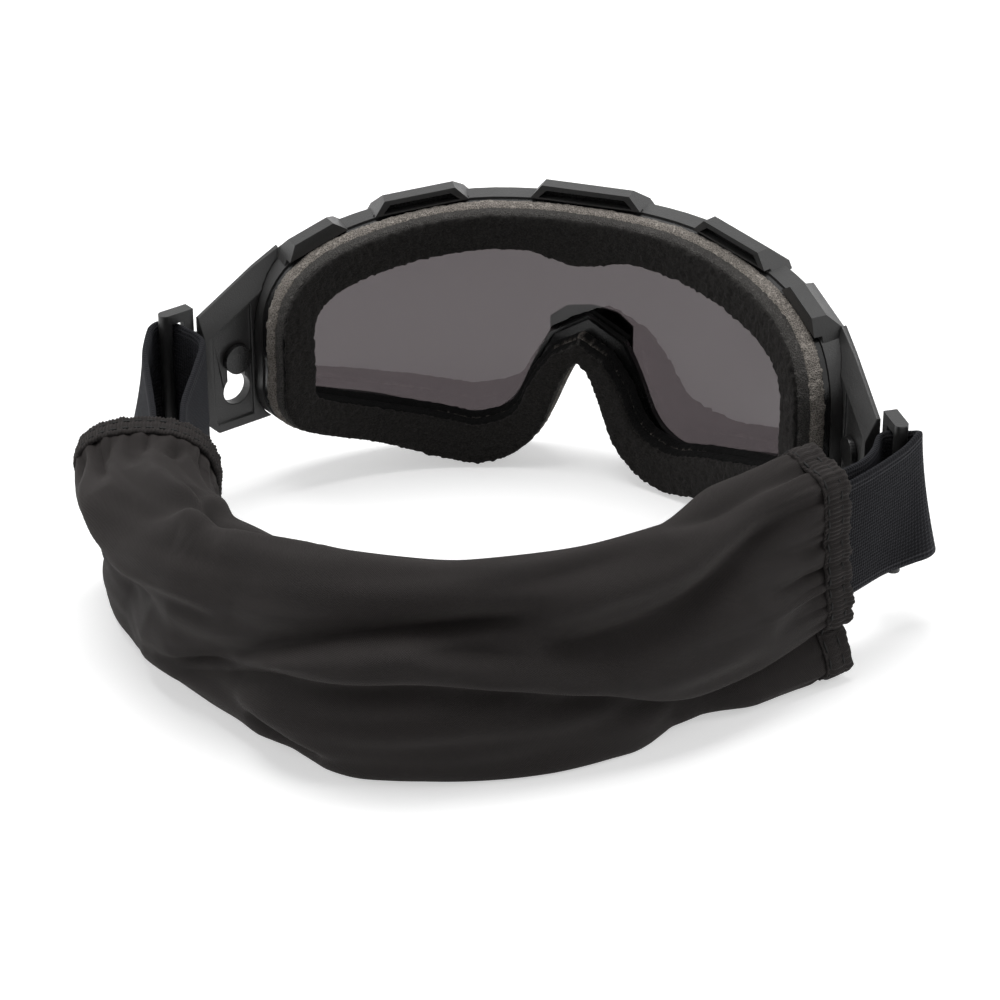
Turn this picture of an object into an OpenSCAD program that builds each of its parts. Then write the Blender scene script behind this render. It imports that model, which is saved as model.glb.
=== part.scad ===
// Motorcycle goggles with a wrapped smoke lens, a two-part moulded frame with vent hoods,
// layered face padding, pivoting strap clips and an elastic strap in a loose fabric sleeve.
// The frame, lens and padding all wrap round the Z axis. The lens faces +Y, and Z = 0 is the
// surface that the goggles stand on.

/* [Face] */
// Radius of the curve that the face side of the padding follows
face_r = 92; // [86:1:98]
// Half of the angle that the frame wraps round the face, in degrees
wrap_half = 56.2; // [53:0.2:59]

/* [Frame outline] */
// Height of the frame from the cheeks to the brow
frame_h = 85; // [80:1:90]
// Height of the nose arch above the cheeks
nose_h = 36; // [33:1:40]
// Width of the nose arch at its mid height
nose_w = 20; // [17:1:23]

/* [Padding] */
// Width of the padded ring at the brow and the sides
seal_w = 12.6; // [11:0.2:14]
// Extra width of the ring at the middle of the brow
brow_dip = 3.6; // [0:0.2:5]
// Extra width of the ring under the cheeks
cheek_extra = 1.6; // [0:0.2:2]
// Width of the ring over the nose
nose_seal_w = 7.4; // [7:0.2:9]
// Thickness of the fleece that touches the face
fleece_t = 1.4; // [1:0.1:2]
// Thickness of the dense foam under the fleece
core_t = 3.8; // [3:0.1:5]
// Thickness of the open-cell foam on the frame
base_t = 3.4; // [2:0.1:5]
// Width of bare rim that shows round the padding
rim_reveal = 1.3; // [1:0.1:2]

/* [Lens] */
// Thickness of the lens
lens_t = 2.2; // [1.8:0.1:2.8]

/* [Frame walls] */
// Wall of the outer frame
shell_t = 2.4; // [2:0.1:3]
// Width of the lip that holds the lens from the front
lip_w = 6.8; // [6.4:0.1:8]
// Thickness of that lip
lip_t = 1.4; // [1.2:0.1:2]
// Thickness of the flange that carries the padding
flange_t = 1.6; // [1.4:0.1:2.2]
// Wall of the inner frame
liner_t = 1.8; // [1.4:0.1:2.2]
// Depth of the inner frame between its flange and the lens
liner_d = 4.2; // [4:0.2:6]
// Width of the sloping ledge behind the lens
ledge_w = 6.6; // [6:0.1:7.4]

/* [Vent hoods] */
// Width of the middle hood along its top edge
hood_w = 26.5; // [22:0.5:30]
// Width of each side hood along its top edge
side_hood_w = 21; // [18:0.5:24]
// Angle of the side hoods from the middle, in degrees
side_hood_at = 27.5; // [26:0.5:30]
// Width of each temple block along its top edge
temple_w = 13; // [10:0.5:14]
// Angle of the temple blocks from the middle, in degrees
temple_at = 45.5; // [44:0.5:46]
// Height of the hoods above the frame
hood_h = 4.8; // [3.6:0.2:6]
// Wall of the hoods
hood_wall = 1.5; // [1.2:0.1:1.8]

/* [Nose shield] */
// Width of the plate over the nose arch
shield_w = 26; // [22:1:30]
// Height of that plate above the arch
shield_h = 13; // [11:0.5:15]
// Cut of its upper corners
shield_cut = 5; // [3:0.5:6]

/* [Outriggers] */
// Length of each outrigger behind the frame
rigger_l = 17.4; // [17:0.2:20]
// Thickness of each outrigger
rigger_t = 4.4; // [3.6:0.2:5]
// Height of the outrigger's bottom edge
rigger_z0 = 21; // [19:0.5:23]
// Height of the stud in its keyhole
stud_z = 43.4; // [42:0.2:45]
// Distance of the keyhole behind the frame
keyhole_u = 6.6; // [6.4:0.1:7.4]
// Radius of the keyhole's open lower lobe
lobe_r = 4.6; // [4.2:0.1:4.8]
// Distance between the two lobes of the keyhole
lobe_gap = 10.4; // [9.6:0.2:11]
// Radius of the stud's shaft
stud_r = 3; // [2.6:0.1:3.2]

/* [Strap] */
// Width of the strap webbing
strap_w = 38; // [34:1:40]
// Thickness of the strap webbing
strap_t = 1.8; // [1.4:0.1:2.2]
// Radius of the bar that the strap turns round
bar_r = 2; // [1.8:0.1:2.4]
// How far each strap loop bows out on both sides
loop_bulge = 5.5; // [3:0.5:7]
// Length of the strap adjusters along the strap
slider_l = 18; // [16:1:22]

/* [Sleeve] */
// Height of the fabric sleeve where it stands
sleeve_h = 58; // [56:1:62]
// Thickness of the sleeve's gathered fabric
sleeve_t = 1.4; // [1:0.1:2]
// Width of the gathered hems
hem_w = 6; // [4:0.5:8]

/* [Clearances] */
// Gap between parts that are glued or snapped together
seat_gap = 0.2; // [0.15:0.05:0.3]
// Gap round the lens in its groove
lens_gap = 0.2; // [0.15:0.05:0.3]
// Radial gap round the stud's shaft
pivot_gap = 0.05; // [0.03:0.01:0.08]
// Gap between the clip and the outrigger that it turns on
clip_gap = 0.3; // [0.2:0.05:0.5]
// Gap round the webbing where it passes a bar
web_gap = 0.5; // [0.4:0.05:0.7]

/* [Hidden] */
$fn = 48;

// Radii of the concentric layers, from the face outwards
core_r = face_r + fleece_t;
base_r = core_r + core_t;
seal_r = base_r + base_t;
flange_r = seal_r + seat_gap;
liner_r = flange_r + flange_t;
lens_r = liner_r + liner_d;
lens_back_r = lens_r + lens_gap;
lens_front_r = lens_back_r + lens_t;
lip_r = lens_front_r + lens_gap;
front_r = lip_r + lip_t;
shell_r = liner_r + seat_gap;

// How far cutters reach past the faces that they cut
cut = 2;

// The outline of the frame, laid flat at the radius of the padding: half of it, from the middle
// of the brow round the temple and the cheek to the top of the nose arch. Each point is the
// distance along the arc, the height and the width of the padded ring there.
half_arc = seal_r * wrap_half * PI / 180;
cheek_w = seal_w + cheek_extra;
nose_side = nose_w / 2;
half_outline = [
    [0, frame_h, seal_w + brow_dip],
    [0.167 * half_arc, frame_h, seal_w],
    [0.333 * half_arc, 0.994 * frame_h, seal_w],
    [0.500 * half_arc, 0.970 * frame_h, seal_w],
    [0.667 * half_arc, 0.932 * frame_h, seal_w],
    [0.812 * half_arc, 0.885 * frame_h, seal_w],
    [0.918 * half_arc, 0.815 * frame_h, seal_w],
    [0.980 * half_arc, 0.715 * frame_h, seal_w],
    [half_arc, 0.600 * frame_h, seal_w],
    [half_arc, 0.460 * frame_h, seal_w],
    [half_arc, 0.345 * frame_h, seal_w],
    [0.945 * half_arc, 0.240 * frame_h, seal_w],
    [0.815 * half_arc, 0.172 * frame_h, seal_w],
    [0.655 * half_arc, 0.112 * frame_h, seal_w],
    [0.490 * half_arc, 0.040 * frame_h, cheek_w],
    [0.350 * half_arc, 0, cheek_w],
    [0.245 * half_arc, 0.018 * frame_h, cheek_w],
    [0.158 * half_arc, 0.085 * frame_h, seal_w],
    [nose_side, nose_h * 0.42, seal_w - brow_dip / 2],
    [nose_side * 0.56, nose_h * 0.73, (seal_w + nose_seal_w) / 2],
    [0, nose_h, nose_seal_w]];

// A closed smooth curve through control points
function spline(a, b, c, d, t) = b + 0.5 * t * (c - a + t * (2 * a - 5 * b + 4 * c - d
    + t * (3 * (b - c) + d - a)));
function closed_curve(p, steps) = [for (i = [0 : len(p) - 1], k = [0 : steps - 1])
    let (n = len(p))
    spline(p[(i + n - 1) % n], p[i], p[(i + 1) % n], p[(i + 2) % n], k / steps)];
function open_curve(p, steps) = let (n = len(p) - 1) concat(
    [for (i = [0 : n - 1], k = [0 : steps - 1])
        spline(p[max(i - 1, 0)], p[i], p[i + 1], p[min(i + 2, n)], k / steps)], [p[n]]);

last = len(half_outline) - 1;
outline = closed_curve(concat(half_outline,
    [for (i = [last - 1 : -1 : 1]) let (p = half_outline[i]) [-p[0], p[1], p[2]]]), 3);
count = len(outline);

// Inward normals of the flat outline
normals = [for (i = [0 : count - 1])
    let (d = outline[(i + 1) % count] - outline[(i + count - 1) % count], l = norm([d[0], d[1]]))
    [d[1], -d[0]] / l];
function inset(i, d) = [outline[i][0], outline[i][1]] + d * normals[i];
function wrap(p, r) = let (a = p[0] / seal_r * 180 / PI) [r * sin(a), r * cos(a), p[1]];

// Height of the frame's upper edge at an angle from the middle
upper_edge = [for (i = [0 : 24]) [outline[i][0] / seal_r * 180 / PI, outline[i][1]]];
function upper_z(a) = lookup(abs(a), upper_edge);

// Side faces of a closed tube of rings with m points each. Each four-sided face is split across
// one diagonal, or across the other where turned is true.
function ring_faces(n, m, closed, turned = []) = [
    for (i = [0 : n - (closed ? 1 : 2)], k = [0 : m - 1])
    let (a = i * m, b = (i + 1) % n * m, j = (k + 1) % m)
    each turned[k] == true ? [[a + k, b + k, a + j], [a + j, b + k, b + j]]
        : [[a + k, b + j, a + j], [a + k, b + k, b + j]]];

// A section carried round the whole outline. Each point of the section has a fixed inset, a
// share of the ring's width that is added to it, and a radius. Faces that meet back to back are
// split along the same diagonals, so layers seat without crossing.
module carried(section) {
    m = len(section);
    depth = [for (q = section) q[0] + q[1] * seal_w];
    polyhedron([for (i = [0 : count - 1], q = section)
        wrap(inset(i, q[0] + q[1] * outline[i][2]), q[2])],
        ring_faces(count, m, true, [for (k = [0 : m - 1]) depth[(k + 1) % m] < depth[k]]));
}

// Moves a shape from the middle of the brow to an angle round the Z axis
module at_angle(a) {
    rotate([0, 0, -a])
        children();
}

// Draws a shape for the right side, or its mirror image for the left
module sided(side) {
    mirror([side < 0 ? 1 : 0, 0, 0])
        children();
}

// Extrudes an X-Z outline along Y from y0 to y1
module along_y(y0, y1) {
    translate([0, y1, 0])
        rotate([90, 0, 0])
            linear_extrude(y1 - y0)
                children();
}

// Vent hoods: a trapezoid block with a sloping roof, open to the rear
hood_flare = 5;
hood_sunk = 1.6;
hood_step = 0.4;
hood_back = 0.6;
hood_r = seal_r - hood_back;
hood_roof = 0.45;
hood_floor = 0.8;
pocket_flare = 1;
filter_in = 2.4;

module hood_outline(w) {
    base = w / 2 + hood_flare;
    polygon([[-base, -hood_sunk], [base, -hood_sunk], [w / 2, hood_h], [-w / 2, hood_h]]);
}

module hood_place(a, w) {
    half_a = asin(w / 2 / front_r);
    z_in = upper_z(abs(a) - half_a);
    z_out = upper_z(abs(a) + half_a);
    tilt = a == 0 ? 0 : atan((z_in - z_out) / w);
    at_angle(a)
        translate([0, 0, a == 0 ? upper_z(half_a) : (z_in + z_out) / 2])
            rotate([0, sign(a) * tilt, 0])
                children();
}

module hood_block(w) {
    roof_y = hood_r + (front_r - hood_r) * hood_roof;
    intersection() {
        along_y(hood_r, front_r)
            hood_outline(w);
        rotate([90, 0, 90])
            translate([0, 0, -w])
                linear_extrude(2 * w)
                    polygon([[hood_r, hood_step], [shell_r, hood_step], [shell_r, -hood_sunk],
                        [front_r, -hood_sunk], [front_r, hood_step], [roof_y, hood_h],
                        [hood_r, hood_h]]);
    }
}

module hood_pocket(w, gap) {
    base = w / 2 + pocket_flare - gap;
    top = w / 2 - hood_wall - gap;
    along_y(hood_r - cut, hood_r + (front_r - hood_r) / 2 - gap)
        polygon([[-base, hood_floor + gap], [base, hood_floor + gap],
            [top, hood_h - hood_wall - gap], [-top, hood_h - hood_wall - gap]]);
}

hoods = [[-side_hood_at, side_hood_w], [0, hood_w], [side_hood_at, side_hood_w]];

// Solid blocks of the same form between the side hoods and the outriggers
temples = [[-temple_at, temple_w], [temple_at, temple_w]];

// A low plate over the nose arch, in front of the lens
shield_set = 0.3;
module nose_shield() {
    top = nose_h + shield_h;
    intersection() {
        difference() {
            cylinder(r = front_r - shield_set, h = frame_h, $fn = 180);
            translate([0, 0, -cut])
                cylinder(r = lip_r + shield_set, h = frame_h + 2 * cut, $fn = 180);
        }
        along_y(0, front_r + cut)
            polygon([[-shield_w / 2, nose_h], [shield_w / 2, nose_h],
                [shield_w / 2, top - shield_cut], [shield_w / 2 - shield_cut, top - shield_cut / 4],
                [0, top], [shield_cut - shield_w / 2, top - shield_cut / 4],
                [-shield_w / 2, top - shield_cut]]);
    }
}

// The ledge behind the lens, with a bead along its edge
ledge_t = 1.4;
ledge_rise = 0.8;
ledge_bead = 1.2;
bead_h = 0.7;

// The slot that lets air through the walls under each hood
vent_land = 0.8;
ledge_land = 0.4;
vent_inset = 2;
vent_floor = 6.4;
vent_y = [shell_r + vent_land, lens_r - ledge_t - ledge_land];
module vent_slot(w) {
    translate([vent_inset - w / 2, vent_y[0], -vent_floor])
        cube([w - 2 * vent_inset, vent_y[1] - vent_y[0], vent_floor + cut]);
}

module vent_slots() {
    for (h = hoods)
        hood_place(h[0], h[1])
            vent_slot(h[1]);
}

module outer_frame() {
    chamfer = 1.3;
    color([0.15, 0.15, 0.16])
        difference() {
            union() {
                carried([[0, 0, shell_r], [shell_t, 0, shell_r], [shell_t, 0, lip_r],
                    [lip_w, 0, lip_r], [lip_w - chamfer, 0, front_r], [chamfer, 0, front_r],
                    [0, 0, front_r - chamfer]]);
                for (h = concat(hoods, temples))
                    hood_place(h[0], h[1])
                        hood_block(h[1]);
                nose_shield();
            }
            for (h = hoods)
                hood_place(h[0], h[1])
                    hood_pocket(h[1], 0);
            vent_slots();
        }
}

// The inner frame: a flange for the padding, a wall inside the outer frame and a lens ledge
module face_frame() {
    flange_in = 0.5;
    flange_short = 0.6;
    wall_gap = 0.6;
    wall_in = shell_t + wall_gap;
    wall_out = wall_in + liner_t;
    ledge_r = lens_r - ledge_t;
    ledge_in = wall_out + ledge_w;
    color([0.2, 0.2, 0.2])
        difference() {
            carried([[flange_in, 0, flange_r], [-flange_short, 1, flange_r],
                [-flange_short, 1, liner_r], [wall_out, 0, liner_r], [wall_out, 0, liner_r + ledge_rise],
                [ledge_in - ledge_bead, 0, ledge_r], [ledge_in - ledge_bead, 0, ledge_r - bead_h],
                [ledge_in, 0, ledge_r - bead_h], [ledge_in, 0, lens_r],
                [wall_in, 0, lens_r], [wall_in, 0, liner_r], [flange_in, 0, liner_r]]);
            vent_slots();
        }
}

module lens() {
    edge_gap = 1.8;
    lens_in = shell_t + edge_gap;
    mid_r = (lens_back_r + lens_front_r) / 2;
    color([0.3, 0.28, 0.29, 0.6])
        intersection() {
            difference() {
                cylinder(r = lens_front_r, h = frame_h, $fn = 180);
                translate([0, 0, -cut])
                    cylinder(r = lens_back_r, h = frame_h + 2 * cut, $fn = 180);
            }
            along_y(0, lens_front_r + cut)
                polygon([for (i = [0 : count - 1])
                    let (p = wrap(inset(i, lens_in), mid_r)) [p[0], p[2]]]);
        }
}

// One layer of the face padding between two radii, held back from the rim by a margin
module padding(r0, r1, margin) {
    carried([[margin, 0, r0], [0, 1, r0], [0, 1, r1], [margin, 0, r1]]);
}

module foam_base() {
    color([0.33, 0.29, 0.27])
        padding(base_r, seal_r, rim_reveal);
}

module foam_core() {
    color([0.17, 0.16, 0.16])
        padding(core_r, base_r, rim_reveal);
}

module face_fleece() {
    color([0.06, 0.06, 0.06])
        padding(face_r, core_r, rim_reveal);
}

// Foam pads behind the mouths of the hoods
module vent_filter(h) {
    color([0.1, 0.1, 0.1])
        hood_place(h[0], h[1])
            intersection() {
                hood_pocket(h[1], seat_gap);
                translate([-h[1], hood_r + filter_in, 0])
                    cube([2 * h[1], front_r, hood_h]);
            }
}

// The outriggers: flat side plates, tangent to the frame's front, with a keyhole for the clip.
// Their own frame has X to the rear along the plate, Y outwards and X = 0 at the frame's side.
rigger_set = 0.3;
rigger_r = front_r - rigger_t - rigger_set;
rigger_front = -13;
rigger_brow_z = 0.875 * frame_h;
rigger_corner = [-2.6, 0.82 * frame_h];
rigger_rear_z = 0.69 * frame_h;
rigger_bevel = 6;
rigger_land = 1.2;
rigger_recess = 0.8;
recess_front_z = 0.7 * frame_h;
recess_rear_z = 0.62 * frame_h;
rigger_slope = atan((rigger_corner[1] - rigger_rear_z) / (rigger_l - rigger_corner[0]));

module at_side(side) {
    sided(side)
        at_angle(wrap_half)
            children();
}

module keyhole() {
    y0 = rigger_r - cut;
    y1 = rigger_r + rigger_t + cut;
    slot_r = stud_r + pivot_gap;
    translate([keyhole_u, y1, stud_z])
        rotate([90, 0, 0]) {
            cylinder(r = slot_r, h = y1 - y0);
            translate([-slot_r, -lobe_gap, 0])
                cube([2 * slot_r, lobe_gap, y1 - y0]);
            translate([0, -lobe_gap, 0])
                cylinder(r = lobe_r, h = y1 - y0);
        }
}

module outrigger(side) {
    nip = 3.5;
    rim = 2.8;
    reach = 3 * lip_w;
    past_r = front_r + 3 * cut;
    block_gap = 4 * seat_gap;
    color([0.16, 0.16, 0.17])
        at_side(side)
            difference() {
                along_y(rigger_r, rigger_r + rigger_t)
                    polygon([[rigger_front, rigger_z0], [rigger_l - nip, rigger_z0],
                        [rigger_l, rigger_z0 + nip], [rigger_l, rigger_rear_z], rigger_corner,
                        [rigger_front, rigger_brow_z]]);
                at_angle(-wrap_half)
                    carried([[-seat_gap, 0, seal_r - cut], [lip_w, 0, seal_r - cut],
                        [reach, 0, past_r], [-seat_gap, 0, past_r]]);
                at_angle(-wrap_half)
                    hood_place(temple_at, temple_w)
                        along_y(hood_r - cut, past_r)
                            hood_outline(temple_w + block_gap);
                translate([rigger_corner[0], rigger_r, rigger_corner[1]])
                    rotate([0, rigger_slope, 0])
                        translate([-rigger_l, 0, -rigger_bevel])
                            rotate([atan(rigger_bevel / (rigger_t - rigger_land)), 0, 0])
                                translate([0, -cut, 0])
                                    cube([3 * rigger_l, 4 * rigger_bevel, 2 * rigger_bevel]);
                along_y(rigger_r - cut, rigger_r + rigger_recess)
                    polygon([[rim / 2, rigger_z0 + rim], [rigger_l - nip, rigger_z0 + rim],
                        [rigger_l - rim, rigger_z0 + 2 * rim], [rigger_l - rim, recess_rear_z],
                        [rim / 2, recess_front_z]]);
                keyhole();
            }
}

// The strap clips: a plate that turns on the stud, with a slot and a bar for the webbing
clip_r = rigger_r + rigger_t + clip_gap;
clip_t = 2.6;
clip_z = 38.4;
clip_step = 0.6;
clip_u = rigger_l + clip_step;
clip_wall = 3;
slot_l = 5.4;
slot_gap = 1;
bar_u = clip_u + clip_wall + slot_l;
slot_half = strap_w / 2 + slot_gap;

module strap_clip(side) {
    boss_r = stud_r + 2.4;
    arm_in = 3;
    arm_spread = 11;
    bar_y = clip_r + bar_r;
    color([0.3, 0.3, 0.31])
        at_side(side)
            difference() {
                union() {
                    along_y(clip_r, clip_r + clip_t) {
                        translate([keyhole_u, stud_z])
                            circle(r = boss_r);
                        polygon([[keyhole_u, stud_z + boss_r], [keyhole_u, stud_z - arm_in],
                            [clip_u + clip_wall, stud_z - arm_spread],
                            [clip_u + clip_wall, stud_z + arm_spread]]);
                    }
                    for (s = [-1, 1])
                        translate([clip_u, clip_r, clip_z + s * (slot_half + clip_wall / 2)])
                            translate([0, 0, -clip_wall / 2])
                                cube([bar_u - clip_u, 2 * bar_r, clip_wall]);
                    for (s = [-1, 1])
                        translate([bar_u, bar_y, clip_z + s * (slot_half + clip_wall / 2)])
                            cylinder(r = bar_r, h = clip_wall, center = true);
                    translate([clip_u, clip_r, clip_z - slot_half])
                        cube([clip_wall, clip_t, 2 * slot_half]);
                    translate([bar_u, bar_y, clip_z - slot_half])
                        cylinder(r = bar_r, h = 2 * slot_half);
                }
                translate([keyhole_u, clip_r + clip_t + cut, stud_z])
                    rotate([90, 0, 0])
                        cylinder(r = stud_r + pivot_gap, h = clip_t + 2 * cut);
            }
}

// The studs: a rivet with a head inside the outrigger and a low dome outside the clip
module clip_stud(side) {
    head_gap = 0.1;
    head_r = lobe_r - head_gap;
    head_t = 1.6;
    dome_r = stud_r + 1.4;
    dome_top_r = stud_r + 0.6;
    head_y = rigger_r + rigger_recess - clip_gap - head_t;
    dome_t = 0.9;
    color([0.08, 0.08, 0.08])
        at_side(side)
            translate([keyhole_u, 0, stud_z])
                rotate([-90, 0, 0]) {
                    translate([0, 0, head_y])
                        cylinder(r = head_r, h = head_t);
                    translate([0, 0, head_y])
                        cylinder(r = stud_r, h = clip_r + clip_t + dome_t - head_y);
                    translate([0, 0, clip_r + clip_t])
                        cylinder(r1 = dome_r, r2 = dome_top_r, h = dome_t);
                }
}

// The strap, seen from above: the adjusters' places, and points that the strap and the sleeve
// follow between them, each with half of the sleeve's thickness, a share of its height and how
// much narrower its upper half is there
left_slider_at = [-81.8, -29.5, 25.3];
right_slider_at = [74.4, -11.2, 32];
sleeve_run = [[-96, -7, 20, 0.87, -0.25], [-91, -20, 20, 0.87, -0.2], [-80, -33, 18.5, 0.88, -0.05],
    [-62, -48, 17, 0.92, 0.1], [-36, -61.5, 17, 0.97, 0.15], [-11, -69, 17.5, 1, 0.15],
    [14, -65.5, 14.5, 1.02, 0.15], [40, -51.5, 12.5, 1.02, 0.15], [62, -30, 11.5, 1.02, 0.15],
    [77, -8, 13, 1.03, 0.12], [90, 10, 13.5, 1.05, 0.1]];
rear_z = 27;

bar_at = [(clip_r + bar_r) * sin(wrap_half) + bar_u * cos(wrap_half),
    (clip_r + bar_r) * cos(wrap_half) - bar_u * sin(wrap_half)];
slider_bar = 1;
strap_tail = 1;
slider_travel = 12;
strap_joint = 0.4;
strap_lead = 6;
layer_off = slider_bar + web_gap + strap_t / 2;
turn_r = bar_r + web_gap / 2 + strap_t / 2;

function flat(p) = [p[0], p[1]];
function unit(v) = v / norm(v);
function slider_at(side) = side < 0 ? [-left_slider_at[0], left_slider_at[1]] : flat(right_slider_at);
function slider_z(side) = side < 0 ? left_slider_at[2] : right_slider_at[2];
function slider_dir(side) = unit(bar_at - slider_at(side));
function outward(d) = [d[1], -d[0]];

// How each side of a loop bows out, inner side first: as a share of loop_bulge, and how far along
left_bow = [[1.35, 0.79], [1.5, 0.47]];
right_bow = [[-0.85, 0.5], [1, 0.62]];
function bow(side, k) = (side < 0 ? left_bow : right_bow)[k < 0 ? 0 : 1];

// One side of a strap loop: straight where the adjuster slides, then bowed out up to the bar
layer_steps = 14;
function layer(side, k) = let (s = slider_at(side), d = slider_dir(side), o = outward(d) * k,
        tail = slider_l / 2 + strap_tail, start = tail + slider_travel, z = slider_z(side),
        run = norm(bar_at - s) - start, b = bow(side, k), power = ln(0.5) / ln(b[1]))
    concat([concat(s - tail * d + layer_off * o, z)],
        [for (i = [0 : layer_steps]) let (t = i / layer_steps,
            off = layer_off + t * (turn_r - layer_off)
                + b[0] * loop_bulge * pow(sin(180 * pow(t, power)), 2))
            concat(s + (start + run * t) * d + off * o, z + t * (clip_z - z))]);

// The turn round the bar, between the two sides of the loop
turn_steps = 8;
function turn(side) = let (d = slider_dir(side), o = outward(d))
    [for (i = [1 : turn_steps - 1]) let (a = 180 * i / turn_steps - 90)
        concat(bar_at + turn_r * (cos(a) * d + sin(a) * o), clip_z)];

function backwards(p) = [for (i = [len(p) - 1 : -1 : 0]) p[i]];

// A flat band of webbing that stands on edge along a path
module ribbon(path) {
    n = len(path);
    points = [for (i = [0 : n - 1])
        let (d = unit(flat(path[min(i + 1, n - 1)] - path[max(i - 1, 0)])), o = outward(d),
            p = path[i], e = strap_t / 2, h = strap_w / 2)
        each [concat(flat(p) - e * o, p[2] - h), concat(flat(p) + e * o, p[2] - h),
            concat(flat(p) + e * o, p[2] + h), concat(flat(p) - e * o, p[2] + h)]];
    m = 4 * (n - 1);
    polyhedron(points, concat(ring_faces(n, 4, false), [[0, 1, 2, 3], [m + 3, m + 2, m + 1, m]]));
}

module strap_loop(side) {
    color([0.09, 0.09, 0.11])
        sided(side)
            ribbon(concat(layer(side, -1), turn(side), backwards(layer(side, 1))));
}

// The rear run starts and ends straight behind the adjusters
function strap_end(side, lead) = let (d = slider_dir(side),
        p = slider_at(side) - (slider_l / 2 + strap_tail + strap_joint + lead) * d
            + layer_off * outward(d))
    [side * p[0], p[1], slider_z(side)];
rear_run = open_curve(concat([strap_end(-1, 0), strap_end(-1, strap_lead)],
    [for (i = [3 : len(sleeve_run) - 3]) concat(flat(sleeve_run[i]), rear_z)],
    [strap_end(1, strap_lead), strap_end(1, 0)]), 4);

module rear_strap() {
    color([0.09, 0.09, 0.11])
        ribbon(rear_run);
}

// The adjusters: two rails, a bar between the layers of webbing and a bar at each end
module slider(side) {
    rail_z = strap_w / 2 + web_gap;
    rail_t = 2;
    bar_t = 1.6;
    mid_w = 5;
    end_w = 3;
    out = layer_off + strap_t / 2 + web_gap;
    d = slider_dir(side);
    color([0.28, 0.28, 0.29])
        sided(side)
            translate(concat(slider_at(side), slider_z(side)))
                rotate([0, 0, atan2(d[1], d[0])]) {
                    for (s = [-1, 1])
                        translate([-slider_l / 2, -out - bar_t, s * (rail_z + rail_t / 2) - rail_t / 2])
                            cube([slider_l, out + bar_t + slider_bar, rail_t]);
                    translate([-mid_w / 2, -slider_bar, -rail_z])
                        cube([mid_w, 2 * slider_bar, 2 * rail_z]);
                    for (s = [-1, 1])
                        translate([(s * (slider_l - end_w) - end_w) / 2, -out - bar_t, -rail_z])
                            cube([end_w, bar_t, 2 * rail_z]);
                }
}

// The sleeve: a loose upright tube with a fuller lower half, standing on its lower edge
tube_sides = 24;
tube_power = 2.4;
sleeve_path = open_curve(sleeve_run, 4);

function swell(v) = sign(v) * pow(abs(v), 2 / tube_power);

// Main folds of the sleeve: points as shares along it and round it, from its outer middle upwards,
// then their height and how far they reach above the line and below it
sleeve_folds = [
    [[[0.03, 0.19], [0.14, 0.085], [0.23, 0.08], [0.35, 0.065]], 4, 9, 5],
    [[[0.05, 0.285], [0.17, 0.235], [0.2, 0.25], [0.1, 0.4]], 3.2, 6, 6],
    [[[0.21, 0.17], [0.28, 0.195], [0.42, 0.235], [0.56, 0.245]], 3, 5, 7],
    [[[0.21, 0.3], [0.25, 0.275], [0.29, 0.265], [0.36, 0.28]], -5.5, 8, 7],
    [[[0.3, -0.03], [0.41, 0.07], [0.48, 0.12], [0.64, 0.155]], -4.8, 7, 6],
    [[[0.26, -0.115], [0.41, -0.005], [0.55, 0.005], [0.78, -0.12], [1, -0.1]], -3.2, 4, 6],
    [[[0.61, 0.09], [0.76, 0.06], [0.86, 0.125], [0.97, 0.175]], -4, 6, 5],
    [[[0.66, 0.14], [0.87, 0.18], [0.99, 0.2]], 2.8, 6, 6],
    [[[0.86, 0.27], [1, 0.25]], 3, 12, 10],
    [[[0.03, 0], [0.14, -0.01], [0.19, -0.03]], -6, 14, 11],
    [[[0.2, -0.12], [0.35, -0.17]], 3, 10, 10],
    [[[0.42, -0.2], [0.6, -0.21]], 3, 10, 10]];
fold_fade = 0.22;
fold_rest = 0.25;
hem_fade = 12;

// Running totals, from 0
function sums(steps) = let (n = len(steps))
    [for (k = 0, g = 0; k <= n; g = g + (k < n ? steps[k] : 0), k = k + 1) g];
function ease(v) = let (t = max(0, min(1, v))) t * t * (3 - 2 * t);

// Height of one fold at a place in mm along and round a tube of that length and girth
function fold_lift(at, size, fold) = let (line = fold[0], n = len(line) - 1,
        near = [for (i = [0 : n - 1]) let (
            a = [line[i][0] * size[0], line[i][1] * size[1]],
            step = [line[i + 1][0] * size[0], line[i + 1][1] * size[1]] - a,
            v = at[1] - a[1],
            q = [at[0] - a[0], v - size[1] * round(v / size[1])],
            t = max(0, min(1, q * step / (step * step))))
            [norm(q - t * step), step[0] * q[1] - step[1] * q[0], (i + t) / n]],
        nearest = min([for (e = near) e[0]]),
        hit = [for (e = near) if (e[0] == nearest) e][0],
        reach = hit[1] > 0 ? fold[2] : fold[3],
        fade = ease(min(hit[2], 1 - hit[2]) / fold_fade))
    fold[1] * (fold_rest + (1 - fold_rest) * fade) * exp(-pow(nearest / reach, 2));

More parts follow.
